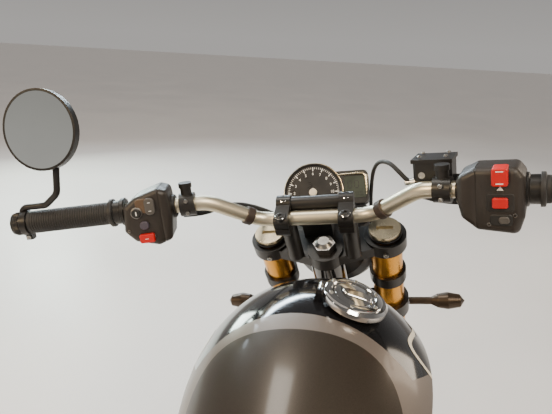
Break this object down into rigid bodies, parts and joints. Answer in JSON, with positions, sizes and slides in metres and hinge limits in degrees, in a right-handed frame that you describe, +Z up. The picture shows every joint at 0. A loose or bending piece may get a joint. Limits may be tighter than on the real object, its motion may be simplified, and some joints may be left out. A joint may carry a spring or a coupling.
{
  "type": "roadster motorcycle",
  "caption": "Cafe racer style roadster motorcycle leaning on its side stand, with turning wheels, steering, folding stand and hinged filler lid.",
  "frame": {"origin": "on the floor, under the middle of the parked machine's box", "axes": "+Y forward, the way it rides; +X to the rider's right; +Z up from the floor. It leans 10.5 degrees to -X on its side stand."},
  "size_m": [0.8341, 2.056, 1.2517],
  "materials": {
    "bar_silver": "satin champagne silver",
    "black_alloy": "gloss black cast alloy",
    "black_metal": "satin black",
    "black_plastic": "satin",
    "bronze_metal": "dark bronze",
    "chain_steel": "oiled",
    "champagne": "satin champagne anodised",
    "chrome": "polished",
    "dial_face": "dark display glass",
    "disc_steel": "ground",
    "engine_black": "satin black",
    "exhaust_steel": "brushed stainless",
    "frame_paint": "gloss black",
    "gold_anodised": "gold anodised",
    "grip_rubber": "ribbed",
    "hose_rubber": "smooth",
    "lamp_glass": "clear",
    "mirror_glass": "silvered",
    "radiator_alloy": "black",
    "seat_leather": "grained",
    "spring_steel": "black with pale spring",
    "steel": "machined",
    "switch_plastic": "fine texture",
    "tail_red": "red lens",
    "tank_paint": "gloss black with grey panel",
    "tyre": "tread rubber"
  },
  "bodies": {
    "chassis": {"airbox": "black_plastic", "chain": "chain_steel", "engine_case": "engine_black", "engine_cylinder": "engine_black", "exhaust": "exhaust_steel", "foot_controls": "steel", "footrests": "black_metal", "frame": "frame_paint", "front_sprocket": "steel", "fuel_tank": "tank_paint", "radiator": "radiator_alloy", "rear_axle": "steel", "rear_caliper": "black_metal", "rear_indicators": "bronze_metal", "rear_shock": "spring_steel", "seat": "seat_leather", "side_covers": "black_plastic", "swingarm": "black_alloy", "tail_lamp": "tail_red", "tail_unit": "black_plastic"},
    "steering": {"top_yoke": "black_metal", "bottom_yoke": "black_metal", "stem_nut": "chrome", "fork_tubes": "gold_anodised", "fork_caps": "champagne", "fork_legs": "black_metal", "front_axle": "steel", "bar_clamps": "black_metal", "handlebar": "bar_silver", "grips": "grip_rubber", "left_switchgear": "switch_plastic", "right_switchgear": "switch_plastic", "clutch_lever_set": "black_metal", "brake_lever_set": "black_metal", "bar_end_mirrors": "black_metal", "mirror_glasses": "mirror_glass", "instrument": "switch_plastic", "instrument_glass": "dial_face", "headlamp": "black_metal", "headlamp_lens": "lamp_glass", "front_indicators": "bronze_metal", "front_mudguard": "black_plastic", "front_caliper": "black_metal", "brake_hose": "hose_rubber", "left_loom": "hose_rubber", "right_loom": "hose_rubber"},
    "front_wheel": {"front_rim": "black_alloy", "front_tyre": "tyre", "front_disc": "disc_steel"},
    "rear_wheel": {"rear_rim": "black_alloy", "rear_tyre": "tyre", "rear_disc": "disc_steel", "rear_sprocket": "steel"},
    "side_stand": {"side_stand": "black_metal"},
    "fuel_cap": {"fuel_cap": "chrome"}
  },
  "joints": [
    {"name": "steering", "type": "hinge", "parent": "chassis", "child": "steering", "pos_m": [0.03784, 0.46282, 0.80461], "axis": [-0.1657, -0.4163, 0.894], "range_deg": [-35, 35]},
    {"name": "front_wheel", "type": "hinge", "parent": "steering", "child": "front_wheel", "pos_m": [0.1334, 0.735, 0.28905], "axis": [0.9833, 0, 0.1822], "continuous": true},
    {"name": "rear_wheel", "type": "hinge", "parent": "chassis", "child": "rear_wheel", "pos_m": [0.13097, -0.642, 0.30217], "axis": [0.9833, 0, 0.1822], "continuous": true},
    {"name": "side_stand", "type": "hinge", "parent": "chassis", "child": "side_stand", "pos_m": [0.01403, -0.05, 0.1978], "axis": [-0.9806, -0.1804, -0.0764], "range_deg": [0, 104.87]},
    {"name": "fuel_cap", "type": "hinge", "parent": "chassis", "child": "fuel_cap", "pos_m": [0.04209, 0.21612, 0.92256], "axis": [0.0031, -0.9999, 0.0151], "range_deg": [0, 95]}
  ]
}
